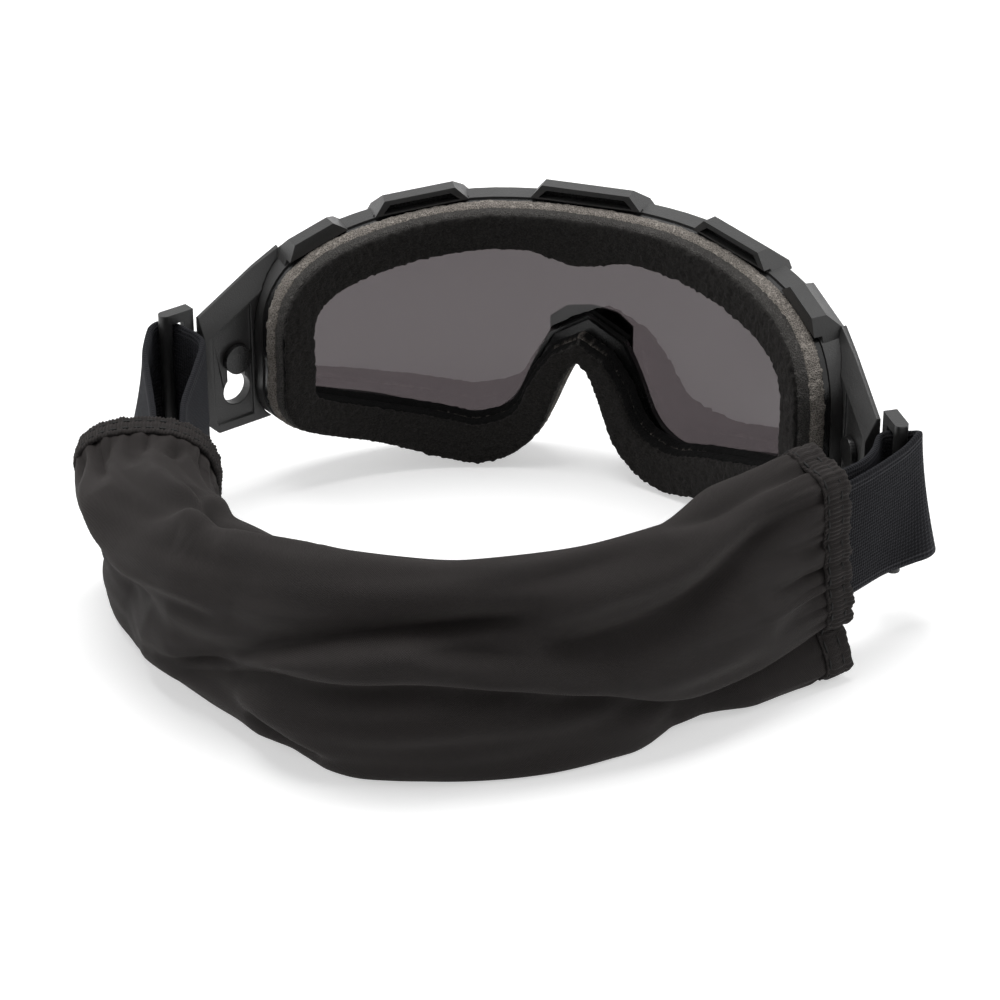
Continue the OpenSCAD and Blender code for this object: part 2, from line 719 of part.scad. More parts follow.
// One ring of a tube: its section's places outwards and up, then lifted by the folds
function section(p, wall) = [for (k = [0 : tube_sides - 1])
    let (a = 360 * k / tube_sides, h = p[3] * sleeve_h / 2, v = swell(sin(a)))
    [(p[2] - wall) * swell(cos(a)) * (1 - p[4] * v), h + (h - wall) * v]];
function lifts(p, gone, length, folds) = let (points = section(p, 0), m = tube_sides,
        round_steps = sums([for (k = [0 : m - 1]) norm(points[(k + 1) % m] - points[k])]),
        share = ease(min(gone, length - gone) / hem_fade))
    [for (k = [0 : m - 1])
        share * add([for (f = folds) fold_lift([gone, round_steps[k]], [length, round_steps[m]], f)])];
function add(values) = len(values) == 0 ? 0 : values * [for (v = values) 1];
function tube_ring(p, d, wall, lift) = let (points = section(p, wall))
    [for (k = [0 : tube_sides - 1])
        let (a = 360 * k / tube_sides, n = unit([cos(a) / p[2], sin(a) / (p[3] * sleeve_h / 2)]),
            q = points[k] + lift[k] * n)
        concat(flat(p) + q[0] * outward(d), max(q[1], wall))];

module tube(path, wall, folds) {
    n = len(path);
    m = tube_sides;
    dirs = [for (i = [0 : n - 1]) unit(flat(path[min(i + 1, n - 1)] - path[max(i - 1, 0)]))];
    gone = sums([for (i = [0 : n - 2]) norm(flat(path[i + 1] - path[i]))]);
    lift = [for (i = [0 : n - 1]) lifts(path[i], gone[i], gone[n - 1], folds)];
    points = concat([for (i = [0 : n - 1]) each tube_ring(path[i], dirs[i], 0, lift[i])],
        [for (i = [0 : n - 1]) each tube_ring(path[i], dirs[i], wall, lift[i])]);
    inner = n * m;
    end = (n - 1) * m;
    faces = concat(ring_faces(n, m, false),
        [for (f = ring_faces(n, m, false)) [f[0] + inner, f[2] + inner, f[1] + inner]],
        [for (k = [0 : m - 1]) let (j = (k + 1) % m) [k, j, inner + j, inner + k]],
        [for (k = [0 : m - 1]) let (j = (k + 1) % m)
            [end + j, end + k, end + inner + k, end + inner + j]]);
    polyhedron(points, faces);
}

module strap_sleeve() {
    color([0.17, 0.16, 0.155])
        tube(sleeve_path, sleeve_t, sleeve_folds);
}

// A gathered hem: a short band that carries the sleeve's end on along its path
hem_t = 2;
module sleeve_hem(path) {
    first = path[0];
    d = unit(flat(first - path[1]));
    color([0.15, 0.14, 0.135])
        tube([for (s = [hem_w, seat_gap])
            concat(flat(first) + s * d, [first[2], first[3], first[4]])], hem_t, []);
}

outer_frame();
face_frame();
lens();
foam_base();
foam_core();
face_fleece();
vent_filter(hoods[1]);  // center_vent_filter
vent_filter(hoods[0]);  // left_vent_filter
vent_filter(hoods[2]);  // right_vent_filter
outrigger(-1);  // left_outrigger
outrigger(1);  // right_outrigger
strap_clip(-1);  // left_strap_clip
strap_clip(1);  // right_strap_clip
clip_stud(-1);  // left_clip_stud
clip_stud(1);  // right_clip_stud
strap_loop(-1);  // left_strap_loop
strap_loop(1);  // right_strap_loop
rear_strap();
slider(-1);  // left_slider
slider(1);  // right_slider
strap_sleeve();
sleeve_hem(sleeve_path);  // left_sleeve_hem
sleeve_hem(backwards(sleeve_path));  // right_sleeve_hem
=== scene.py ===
"""Looks of the goggles: materials, foam, webbing and the fabric sleeve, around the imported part."""
import math

import bpy
import numpy as np
from mathutils import Matrix, Vector, noise


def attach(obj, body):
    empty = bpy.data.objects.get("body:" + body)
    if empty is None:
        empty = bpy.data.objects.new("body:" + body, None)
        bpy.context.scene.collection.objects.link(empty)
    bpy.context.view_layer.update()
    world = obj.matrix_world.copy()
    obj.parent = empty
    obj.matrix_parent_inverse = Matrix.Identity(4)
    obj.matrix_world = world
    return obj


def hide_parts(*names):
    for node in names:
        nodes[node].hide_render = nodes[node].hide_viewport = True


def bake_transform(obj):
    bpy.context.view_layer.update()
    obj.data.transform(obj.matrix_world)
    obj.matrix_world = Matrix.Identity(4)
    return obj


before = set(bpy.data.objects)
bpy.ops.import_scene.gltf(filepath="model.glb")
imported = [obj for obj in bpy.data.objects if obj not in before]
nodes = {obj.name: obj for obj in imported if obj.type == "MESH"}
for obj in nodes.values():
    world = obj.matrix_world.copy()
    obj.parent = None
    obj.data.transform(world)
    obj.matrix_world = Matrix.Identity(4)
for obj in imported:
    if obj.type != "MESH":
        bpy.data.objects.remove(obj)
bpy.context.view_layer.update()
scene = bpy.context.scene
scene.view_settings.view_transform = "Standard"
MM = 0.001

# Camera: seen from behind, a little from the right and from above
AZIMUTH = math.radians(18.5)
ELEVATION = math.radians(29)
ROLL = math.radians(-0.2)
EYE = Vector((0.26623, -0.77616, 0.5019))
LENS_MM = 124.2
SENSOR_MM = 36
SHIFT_X = 0.002
SHIFT_Y = -0.021
FAR = 20

# Stage: the floor, the light from all around, and each softbox's name, place, size and power
FLOOR_SIZE = 6
FLOOR_LIT = 0.8
FLOOR_GLOW = 0.5
AMBIENT = 0.22
LIGHT_TARGET = Vector((0, 0, 0.03))
SOFTBOXES = (
    ("overhead_softbox", (-0.15, 0.15, 1.3), (1.0, 0.7), 13),
    ("left_softbox", (-1.3, -0.5, 0.8), (0.8, 0.8), 4),
    ("right_softbox", (1.3, 0.4, 1.0), (0.8, 0.8), 6),
)

# Rigid pieces: points nearer than this are joined, and edges sharper than this are softened
WELD = 0.02 * MM
BEVEL = 0.35 * MM
BEVEL_ANGLE = math.radians(32)

# Padding: size of its mesh, and bumps per metre of its rough surface
PAD_VOXEL = 0.7 * MM
PAD_BUMPS = 700

# Painted shade on the padding's walls inside the eye openings: the attribute that marks it, its grey,
# how far a wall has to face the eye opening to be shaded, over what range that fades in, and the middle
# of an opening
OPENING_SHADE = "opening_shade"
OPENING_SHADE_GREY = 0.006
SHADED_FROM = 0.15
SHADED_OVER = 0.25
EYE_X = 45 * MM
EYE_Z = 42 * MM


def make_camera():
    camera = bpy.data.objects.new("camera", bpy.data.cameras.new("camera"))
    scene.collection.objects.link(camera)
    level = Vector((math.cos(AZIMUTH), math.sin(AZIMUTH), 0))
    ahead = Vector((-math.sin(AZIMUTH) * math.cos(ELEVATION),
                    math.cos(AZIMUTH) * math.cos(ELEVATION), -math.sin(ELEVATION)))
    right = math.cos(ROLL) * level + math.sin(ROLL) * level.cross(ahead)
    up = right.cross(ahead)
    turn = Matrix((right, up, -ahead)).transposed()
    camera.matrix_world = Matrix.Translation(EYE) @ turn.to_4x4()
    camera.data.sensor_width = SENSOR_MM
    camera.data.lens = LENS_MM
    camera.data.shift_x = SHIFT_X
    camera.data.shift_y = SHIFT_Y
    camera.data.clip_end = FAR
    scene.camera = camera


class Shader:
    """A material with one Principled shader and short calls to add nodes to it."""

    def __init__(self, name, **sockets):
        self.material = bpy.data.materials.new(name)
        self.material.use_nodes = True
        self.tree = self.material.node_tree
        self.bsdf = self.tree.nodes["Principled BSDF"]
        self.output = self.tree.nodes["Material Output"]
        self.set(self.bsdf, sockets)

    def set(self, node, sockets):
        for name, value in sockets.items():
            key = name if isinstance(name, int) else name.replace("_", " ")
            if isinstance(value, bpy.types.NodeSocket):
                self.tree.links.new(value, node.inputs[key])
            else:
                node.inputs[key].default_value = value

    def add(self, kind, sockets, **settings):
        node = self.tree.nodes.new("ShaderNode" + kind)
        for name, value in settings.items():
            setattr(node, name, value)
        self.set(node, sockets)
        return node

    def place(self):
        return self.add("TexCoord", {}).outputs["Object"]

    def flat_place(self):
        """The U and V of the surface, in metres."""
        split = self.add("SeparateXYZ", {0: self.add("TexCoord", {}).outputs["UV"]})
        return split.outputs[0], split.outputs[1]

    def noise(self, size, detail, rough=0.5):
        """Noise with features of that size in metres."""
        found = self.add("TexNoise", {"Vector": self.place(), "Scale": 1 / size, "Detail": detail,
                                      "Roughness": rough})
        return found.outputs["Fac"]

    def spread(self, value, low, high, to_low, to_high):
        """Maps value from the range low to high onto to_low to to_high."""
        return self.add("MapRange", {0: value, 1: low, 2: high, 3: to_low, 4: to_high}).outputs[0]

    def math(self, operation, a, b=0.0):
        return self.add("Math", {0: a, 1: b}, operation=operation).outputs[0]

    def wave(self, value, pitch):
        """A smooth wave from -1 to 1 along value, in metres."""
        return self.math("SINE", self.math("MULTIPLY", value, math.tau / pitch))

    def mix(self, share, a, b):
        found = self.add("Mix", {0: share, 6: a, 7: b}, data_type="RGBA")
        return found.outputs[2]

    def bump(self, height, distance):
        made = self.add("Bump", {"Height": height, "Distance": distance, "Strength": 1.0})
        return made.outputs["Normal"]

    def finish(self, **sockets):
        self.set(self.bsdf, sockets)
        return self.material


def grey(value, warm=0.0):
    """A linear grey, a little warmer in red than in blue."""
    return (value * (1 + warm), value, value * (1 - warm), 1)


def plastic(name, value, rough, grain, warm=0.0):
    """Moulded plastic with a fine spark-eroded grain and rubbed, paler patches."""
    s = Shader(name, IOR=1.48)
    fine = s.noise(0.00045, 3)
    broad = s.noise(0.018, 3)
    rubbed = s.noise(0.0045, 4, rough=0.65)
    colour = s.mix(s.spread(broad, 0.3, 0.7, 0, 1),
                   grey(value * 0.86, warm), grey(value * 1.14, warm))
    worn = s.mix(s.spread(rubbed, 0.62, 0.78, 0, 0.35), colour, grey(value * 1.7, warm))
    shine = s.math("ADD", s.spread(broad, 0.3, 0.7, rough - 0.05, rough + 0.05),
                   s.spread(rubbed, 0.4, 0.75, 0.03, -0.06))
    return s.finish(Base_Color=worn, Roughness=shine, Normal=s.bump(fine, grain))


def foam(name, value, cell, warm, depth, pores, opening_shaded=False):
    """Open-cell foam: pale struts between dark pores, and where it faces an eye opening, painted shade
    that turns the wall near black.
    """
    s = Shader(name, Roughness=0.95, Specular_IOR_Level=0.2)
    cells = s.add("TexVoronoi", {"Vector": s.place(), "Scale": 1 / cell},
                  feature="DISTANCE_TO_EDGE")
    edge = cells.outputs["Distance"]
    mottle = s.noise(cell * 2.4, 4)
    strut = s.spread(edge, 0.02, 0.22, 1, 0)
    open_cell = s.mix(s.math("MULTIPLY", strut, s.spread(mottle, 0.3, 0.7, 0.5, 1)),
                      grey(value * pores, warm), grey(value * 1.5, warm))
    colour = s.mix(s.spread(mottle, 0.35, 0.68, 0, 0.55), open_cell, grey(value * 0.62, warm))
    height = s.math("ADD", strut, s.math("MULTIPLY", mottle, 0.6))
    if opening_shaded:
        # painted shade: walls that face into an eye opening turn near black
        opening_shade = s.add("Attribute", {}, attribute_name=OPENING_SHADE).outputs["Fac"]
        colour = s.mix(opening_shade, colour, grey(OPENING_SHADE_GREY))
    return s.finish(Base_Color=colour, Normal=s.bump(height, depth))


def fleece_material():
    """Short brushed nap: soft black with a faint dusty sheen."""
    s = Shader("fleece", Roughness=1.0, Specular_IOR_Level=0.1, Sheen_Weight=0.12,
               Sheen_Roughness=0.55, Sheen_Tint=(0.55, 0.52, 0.52, 1))
    nap = s.noise(0.0006, 5, rough=0.7)
    tuft = s.noise(0.0028, 4, rough=0.6)
    colour = s.mix(s.spread(nap, 0.35, 0.7, 0, 1), grey(0.010, 0.05), grey(0.032, 0.06))
    height = s.math("ADD", nap, s.math("MULTIPLY", tuft, 0.8))
    return s.finish(Base_Color=colour, Normal=s.bump(height, 0.0006))


def lens_material():
    """Smoke-tinted clear plastic."""
    s = Shader("smoke_lens", Base_Color=(0.066, 0.056, 0.059, 1), IOR=1.49,
               Transmission_Weight=1.0)
    haze = s.noise(0.03, 3)
    return s.finish(Roughness=s.spread(haze, 0.3, 0.7, 0.0, 0.03))


def webbing_material():
    """Knitted elastic: fine ribs along the strap, cross threads and a paler selvedge at each edge."""
    s = Shader("webbing", Roughness=0.85, Specular_IOR_Level=0.16, Sheen_Weight=0.07,
               Sheen_Roughness=0.5, Sheen_Tint=(0.5, 0.52, 0.6, 1))
    along, across = s.flat_place()
    ribs = s.wave(across, 0.0011)
    threads = s.wave(s.math("ADD", along, s.math("MULTIPLY", ribs, 0.0001)), 0.0008)
    fuzz = s.noise(0.0005, 4, rough=0.7)
    edge = s.math("ABSOLUTE", across)
    rows = [s.spread(s.math("ABSOLUTE", s.math("SUBTRACT", edge, at * MM)), 0, SELVEDGE_W * MM, 1, 0)
            for at in (SELVEDGE_OUT, SELVEDGE_IN)]
    selvedge = s.math("MAXIMUM", *rows)
    height = s.math("ADD", s.math("MULTIPLY", ribs, 0.5), s.math("MULTIPLY", threads, 0.4))
    height = s.math("ADD", height, s.math("ADD", s.math("MULTIPLY", fuzz, 0.8), selvedge))
    ground = s.mix(s.spread(fuzz, 0.35, 0.72, 0, 1),
                   (0.0077, 0.0078, 0.0094, 1), (0.0204, 0.0204, 0.0234, 1))
    colour = s.mix(s.math("MULTIPLY", selvedge, 0.7), ground, (0.06, 0.06, 0.066, 1))
    return s.finish(Base_Color=colour, Normal=s.bump(height, 0.00018))


def sleeve_material():
    """Smooth stretch fabric: a fine knit with a soft sheen and faint mottling."""
    s = Shader("sleeve_fabric", Roughness=0.78, Specular_IOR_Level=0.22, Sheen_Weight=0.07,
               Sheen_Roughness=0.4, Sheen_Tint=(0.9, 0.82, 0.78, 1))
    along, across = s.flat_place()
    knit = s.math("MULTIPLY", s.wave(along, 0.00055), s.wave(across, 0.00042))
    mottle = s.noise(0.022, 4)
    lint = s.noise(0.0009, 3, rough=0.6)
    ground = s.mix(s.spread(mottle, 0.3, 0.7, 0, 1),
                   (0.0139, 0.0117, 0.0112, 1), (0.0187, 0.0158, 0.0152, 1))
    colour = s.mix(s.spread(lint, 0.72, 0.8, 0, 0.25), ground, (0.045, 0.042, 0.04, 1))
    return s.finish(Base_Color=colour, Normal=s.bump(knit, 0.00006))


def thread_material():
    """Twisted black sewing thread."""
    s = Shader("thread", Roughness=0.7, Specular_IOR_Level=0.3)
    twist = s.noise(0.0003, 2)
    colour = s.mix(twist, grey(0.002), grey(0.007))
    return s.finish(Base_Color=colour, Normal=s.bump(twist, 0.0001))


def white_stage(name, lit, glow):
    """A white surface that keeps shadows and still reads as white to the camera, metal and glass."""
    s = Shader(name, Base_Color=(lit, lit, lit, 1), Roughness=0.7)
    path = s.add("LightPath", {})
    seen = s.math("MAXIMUM", path.outputs["Is Camera Ray"], path.outputs["Is Glossy Ray"])
    seen = s.math("MAXIMUM", seen, path.outputs["Is Transmission Ray"])
    glowing = s.add("Emission", {"Color": (1, 1, 1, 1), "Strength": s.math("MULTIPLY", seen, glow)})
    both = s.add("AddShader", {0: s.bsdf.outputs[0], 1: glowing.outputs[0]})
    s.tree.links.new(both.outputs[0], s.output.inputs["Surface"])
    return s.material


def make_floor():
    bpy.ops.mesh.primitive_plane_add(size=FLOOR_SIZE, location=(0, 0, 0))
    floor = bpy.context.object
    floor.name = "floor"
    floor.data.materials.append(white_stage("white_floor", FLOOR_LIT, FLOOR_GLOW))


def make_world():
    world = bpy.data.worlds.new("studio")
    world.use_nodes = True
    tree = world.node_tree
    back = tree.nodes["Background"]
    path = tree.nodes.new("ShaderNodeLightPath")
    seen = path.outputs["Is Camera Ray"]
    for kind in ("Is Transmission Ray", "Is Glossy Ray"):
        more = tree.nodes.new("ShaderNodeMath")
        more.operation = "MAXIMUM"
        tree.links.new(seen, more.inputs[0])
        tree.links.new(path.outputs[kind], more.inputs[1])
        seen = more.outputs[0]
    level = tree.nodes.new("ShaderNodeMapRange")
    level.inputs[3].default_value = AMBIENT
    level.inputs[4].default_value = 1.0
    tree.links.new(seen, level.inputs[0])
    tree.links.new(level.outputs[0], back.inputs["Strength"])
    back.inputs["Color"].default_value = (1, 1, 1, 1)
    scene.world = world


def make_lights():
    for name, at, size, power in SOFTBOXES:
        light = bpy.data.lights.new(name, "AREA")
        light.shape = "RECTANGLE"
        light.size, light.size_y = size
        light.energy = power
        made = bpy.data.objects.new(name, light)
        scene.collection.objects.link(made)
        turn = (LIGHT_TARGET - Vector(at)).to_track_quat("-Z", "Y")
        made.matrix_world = Matrix.Translation(at) @ turn.to_matrix().to_4x4()


def modify(piece, kind, **settings):
    modifier = piece.modifiers.new(kind.lower(), kind)
    for name, value in settings.items():
        setattr(modifier, name, value)


def dress(name, material, bevel=BEVEL):
    """A rigid CAD node keeps its mesh and gets softened edges, smooth curves and a material."""
    piece = nodes[name]
    for face in piece.data.polygons:
        face.use_smooth = True
    modify(piece, "WELD", merge_threshold=WELD)
    modify(piece, "BEVEL", width=bevel, segments=2, limit_method="ANGLE", angle_limit=BEVEL_ANGLE)
    modify(piece, "WEIGHTED_NORMAL", keep_sharp=True)
    piece.data.materials.clear()
    piece.data.materials.append(material)


def settle(piece):
    """Applies every modifier of a piece to its mesh."""
    shown = piece.evaluated_get(bpy.context.evaluated_depsgraph_get())
    piece.data = bpy.data.meshes.new_from_object(shown)
    piece.modifiers.clear()
    for face in piece.data.polygons:
        face.use_smooth = True


def soft_copy(node, material, rough, swell):
    """A rounded, evenly meshed copy of a CAD soft solid, swollen a little and with a rough surface."""
    piece = bpy.data.objects.new(node + "_pad", nodes[node].data.copy())
    scene.collection.objects.link(piece)
    piece.data.materials.clear()
    piece.data.materials.append(material)
    modify(piece, "WELD", merge_threshold=WELD)
    modify(piece, "REMESH", mode="VOXEL", voxel_size=PAD_VOXEL, use_smooth_shade=True)
    modify(piece, "SMOOTH", factor=0.5, iterations=6)
    settle(piece)
    places = [vertex.co.copy() for vertex in piece.data.vertices]
    normals = [vertex.normal.copy() for vertex in piece.data.vertices]
    rough_places = [co + normal * (swell + noise.fractal(co * PAD_BUMPS, 0.9, 2.0, 3) * rough)
                    for co, normal in zip(places, normals)]
    piece.data.vertices.foreach_set("co", np.array(rough_places).ravel())
    piece.data.update()
    return piece


def shade_opening(piece):
    """Marks the wall of a padding ring that faces one of the two eye openings, where shade is painted
    on it.
    """
    mesh = piece.data
    mark = mesh.attributes.new(OPENING_SHADE, "FLOAT", "POINT")
    for vertex, value in zip(mesh.vertices, mark.data):
        centre = Vector((math.copysign(EYE_X, vertex.co.x), 0, EYE_Z))
        towards = centre - vertex.co
        towards.y = 0
        facing = vertex.normal.dot(towards.normalized())
        value.value = min(max((facing - SHADED_FROM) / SHADED_OVER, 0), 1)


def declare(piece, body, slot, *replaced):
    """A soft piece that rides on a body and stands for CAD nodes. Its slot is not used."""
    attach(piece, body)
    if replaced:
        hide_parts(*replaced)


def make_rigid():
    shell = plastic("frame_plastic", 0.026, rough=0.38, grain=0.00008, warm=0.01)
    liner = plastic("liner_plastic", 0.010, rough=0.24, grain=0.00003)
    clip = plastic("clip_plastic", 0.02, rough=0.36, grain=0.00006)
    stud = plastic("stud_plastic", 0.008, rough=0.3, grain=0.00004)
    filter_foam = foam("filter_foam", 0.012, cell=0.0012, warm=0.02, depth=0.0005, pores=0.3)
    dress("outer_frame", shell)
    dress("face_frame", liner, 0.25 * MM)
    for side in ("left", "right"):
        dress(side + "_outrigger", shell)
        dress(side + "_strap_clip", clip)
        dress(side + "_slider", clip)
        dress(side + "_clip_stud", stud)
    for place in ("left", "center", "right"):
        dress(place + "_vent_filter", filter_foam)
    dress("lens", lens_material(), 0.2 * MM)


def make_padding():
    open_foam = foam("open_foam", 0.34, cell=0.0007, warm=0.1, depth=0.0003, pores=0.35, opening_shaded=True)
    dense_foam = foam("dense_foam", 0.1, cell=0.0006, warm=0.05, depth=0.0003, pores=0.4, opening_shaded=True)
    # node, slot, material, height of the rough surface and swell in mm
    layers = (("foam_base", "open_foam", open_foam, 0.25, 1.2),
              ("foam_core", "dense_foam", dense_foam, 0.2, 0.5),
              ("face_fleece", "fleece", fleece_material(), 0.45, 0))
    for node, slot, material, rough, swell in layers:
        piece = soft_copy(node, material, rough * MM, swell * MM)
        # marks where the padding gets painted shade inside the eye openings
        shade_opening(piece)
        declare(piece, "frame", slot, node)


# Straps. Sizes in mm, as in the part's source: the webbing and the points up its width, the rows of its
# selvedge from its middle, the clip's bar, how far behind the bar a loop is fixed and turns with the
# clip, how far before the adjuster it is level, the steps between its points, and how its flare gathers
# at the lower edge
STRAP_W = 38
STRAP_T = 1.8
STRAP_ROWS = 25
SELVEDGE_OUT = 17.9
SELVEDGE_IN = 16.6
SELVEDGE_W = 0.45
BAR_AT = np.array([108.26, 40.70])
CLIP_Z = 38.4
SLIDE_REACH = 23
LOOP_STEPS = 8
FLARE_POWER = 1.5

# Rear run of the strap: its height, and the steps and points of its path
REAR_Z = 27
REAR_STEPS = 12
REAR_POINTS = 140

# Each loop, seen from above: distance behind the clip's bar, distance outwards from the line between
# adjuster and bar, how far it is raised and how far its lower edge flares out
LOOPS = {
    "left": dict(side=-1, slider=(81.8, -29.5, 25.3), points=[
        (85, -2.4, 0, 0), (75, -2.4, 0, 0), (64, -2.4, 0, 0), (56, -2.4, 0, 0), (52, -2.4, 0, 0),
        (48, -4.2, 0, 0), (44, -6, 0, 0), (38, -6, 0, 0), (30, -6.3, 0, 0), (17, -9.1, 0, 0),
        (7, -10.8, 0, 0), (3, -8.8, 0, 0), (0.6, -5.6, 0, 0), (-1.6, -3.3, 0, 0), (-3.8, -0.5, 0, 0),
        (-3.4, 2.4, 0, 1), (-0.6, 4.2, 0, 3), (5, 5.2, 0, 6), (11.5, 5.5, 0, 8.5), (19, 4.6, 0, 10),
        (27, 3.4, 0, 10.5), (35, 2.4, 0, 10), (42, 1.9, 0, 6), (47, 2.2, 0, 2), (52, 2.4, 0, 0),
        (56, 2.4, 0, 0), (64, 2.4, 0, 0), (75, 2.4, 0, 0), (85, 2.4, 0, 0)]),
    "right": dict(side=1, slider=(74.4, -11.2, 32), points=[
        (72, -2.4, 0, 0), (62, -2.4, 0, 0), (52, -2.4, 0, 0), (43, -2.4, 0, 0), (39, -2.4, 0, 0),
        (35, -1.2, 0.8, 0), (31, 0, 2, 0), (23, 1.2, 2, 0), (15, 1, 1, 0), (8, -1.8, 0, 0),
        (2.5, -5.2, 0, 0), (-0.9, -3.6, 0, 0), (-3.4, -0.6, 0.4, 3), (-4.1, 2.2, 1.5, 6),
        (-2.4, 4.4, 2.5, 5), (2.5, 5.6, 1.6, 1), (9, 6.2, 1.4, -1.5), (18, 6.2, 1.2, -2),
        (28, 5.2, 1, -1.5), (35, 3.4, 0.4, -0.4), (39, 2.4, 0, 0), (43, 2.4, 0, 0), (52, 2.4, 0, 0),
        (62, 2.4, 0, 0), (72, 2.4, 0, 0)]),
}


def spline(a, b, c, d, t):
    return b + 0.5 * t * (c - a + t * (2 * a - 5 * b + 4 * c - d + t * (3 * (b - c) + d - a)))


def open_curve(points, steps):
    """A smooth curve through points, with that many steps between each two."""
    p = np.asarray(points, float)
    last = len(p) - 1
    curve = [spline(p[max(i - 1, 0)], p[i], p[i + 1], p[min(i + 2, last)], k / steps)
             for i in range(last) for k in range(steps)]
    return np.array(curve + [p[last]])


def evenly(curve, count):
    """The same curve with points at even distances, measured from above, and its length."""
    gone = np.r_[0, np.cumsum(np.linalg.norm(np.diff(curve[:, :2], axis=0), axis=1))]
    at = np.linspace(0, gone[-1], count)
    return np.stack([np.interp(at, gone, curve[:, k]) for k in range(curve.shape[1])], 1), gone[-1]


def headings(curve):
    """Directions along a curve and outwards from it, seen from above."""
    ahead = np.gradient(curve[:, :2], axis=0)
    ahead /= np.linalg.norm(ahead, axis=1)[:, None]
    return ahead, np.stack([ahead[:, 1], -ahead[:, 0]], 1)


def grid_piece(name, points, uv, material, capped=False):
    """A mesh from points in mm, in rings along a path, with UVs in mm for one column more."""
    rings, m = points.shape[:2]
    faces = [(i * m + k, (i + 1) * m + k, (i + 1) * m + (k + 1) % m, i * m + (k + 1) % m)
             for i in range(rings - 1) for k in range(m)]
    corners = [uv[i + a, k + b] for i in range(rings - 1) for k in range(m)
               for a, b in ((0, 0), (1, 0), (1, 1), (0, 1))]
    if capped:
        for i, order in ((0, range(m)), (rings - 1, range(m - 1, -1, -1))):
            faces.append(tuple(i * m + k for k in order))
            corners += [uv[i, k] for k in order]
    mesh = bpy.data.meshes.new(name)
    mesh.from_pydata((points.reshape(-1, 3) * MM).tolist(), [], faces)
    layer = mesh.uv_layers.new(name="flat")
    layer.data.foreach_set("uv", (np.array(corners) * MM).ravel())
    for face in mesh.polygons:
        face.use_smooth = True
    mesh.materials.append(material)
    mesh.update()
    piece = bpy.data.objects.new(name, mesh)
    scene.collection.objects.link(piece)
    return piece


def webbing_section():
    """Two faces and two round edges: places across the thickness and up the width, in mm."""
    edge = STRAP_T / 2
    flat = STRAP_W / 2 - edge
    turn = np.radians([30, 60, 90, 120, 150])
    face = np.full(STRAP_ROWS, edge)
    rise = np.linspace(-flat, flat, STRAP_ROWS)
    side = edge * np.cos(turn)
    over = flat + edge * np.sin(turn)
    return np.r_[face, side, -face, -side], np.r_[rise, over, rise[::-1], -over]


def ribbon(name, path, material):
    """A band of webbing that stands on edge along a path of x, y, z and flare, in mm."""
    across, up = webbing_section()
    out = headings(path)[1]
    m = len(up)
    share = ((1 - up / (STRAP_W / 2)) / 2) ** FLARE_POWER
    shift = across[None, :] + path[:, 3:4] * share[None, :]
    points = np.empty((len(path), m, 3))
    points[:, :, :2] = path[:, None, :2] + shift[:, :, None] * out[:, None, :]
    points[:, :, 2] = path[:, 2:3] + up[None, :]
    gone = np.r_[0, np.cumsum(np.linalg.norm(np.diff(path[:, :2], axis=0), axis=1))]
    uv = np.stack([np.repeat(gone[:, None], m + 1, 1),
                   np.repeat(np.r_[up, up[0]][None], len(path), 0)], 2)
    return grid_piece(name, points, uv, material, capped=True)


def loop_line(loop):
    """The clip bar's place, the directions from adjuster to bar and outwards, and their distance."""
    bar = BAR_AT * (loop["side"], 1)
    start = np.array(loop["slider"][:2]) * (loop["side"], 1)
    back = np.linalg.norm(bar - start)
    ahead = (bar - start) / back
    return bar, ahead, np.array([ahead[1], -ahead[0]]) * loop["side"], back


def loop_path(loop):
    """The loop's x, y, z and flare, from the clip's height at the bar to the adjuster's, in mm."""
    bar, ahead, out, back = loop_line(loop)
    curve = open_curve(loop["points"], LOOP_STEPS)
    drop = np.clip(curve[:, 0] / (back - SLIDE_REACH), 0, 1)
    path = np.empty((len(curve), 4))
    path[:, :2] = bar - curve[:, :1] * ahead + curve[:, 1:2] * out
    path[:, 2] = CLIP_Z + drop * (loop["slider"][2] - CLIP_Z) + curve[:, 2]
    path[:, 3] = -curve[:, 3] * loop["side"]
    return path


def make_straps():
    material = webbing_material()
    ends = []
    for name, loop in LOOPS.items():
        path = loop_path(loop)
        piece = ribbon(name + "_strap_web", path, material)
        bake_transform(piece)
        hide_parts(name + "_strap_loop")
        ends.append(path[-1] * (1, 1, 1, 0))
    left, right = ends
    middle = [[p[0], p[1], REAR_Z, 0] for p in SLEEVE_RUN[3:9]]
    path, _ = evenly(open_curve([left] + middle + [right], REAR_STEPS), REAR_POINTS)
    rear = ribbon("rear_strap_web", path[1:-1], material)
    declare(rear, "frame", "webbing", "rear_strap")


# Sleeve. Points seen from above, half of its thickness, share of its height and how much narrower
# its upper half is there, in mm, as in the part's source.
SLEEVE_RUN = [(-96, -7, 20, 0.87, -0.25), (-91, -20, 20, 0.87, -0.2), (-80, -33, 18.5, 0.88, -0.05),
              (-62, -48, 17, 0.92, 0.1), (-36, -61.5, 17, 0.97, 0.15), (-11, -69, 17.5, 1, 0.15),
              (14, -65.5, 14.5, 1.02, 0.15), (40, -51.5, 12.5, 1.02, 0.15), (62, -30, 11.5, 1.02, 0.15),
              (77, -8, 13, 1.03, 0.12), (90, 10, 13.5, 1.05, 0.1)]
RUN_STEPS = 24
SLEEVE_H = 58
TUBE_POWER = 2.4
CLOTH_T = 0.8

# Grid of the cloth, and of a ring's outline before it is spaced evenly
RINGS = 360
ROUND = 216
OUTLINE = 720

# Lowest places above the floor, in mm: of the cloth's middle, a hem's rings, a hem and a stitch
CLOTH_LOW = CLOTH_T / 2 + 0.1
RING_LOW = 0.35
HEM_LOW = 0.3
STITCH_LOW = 0.2

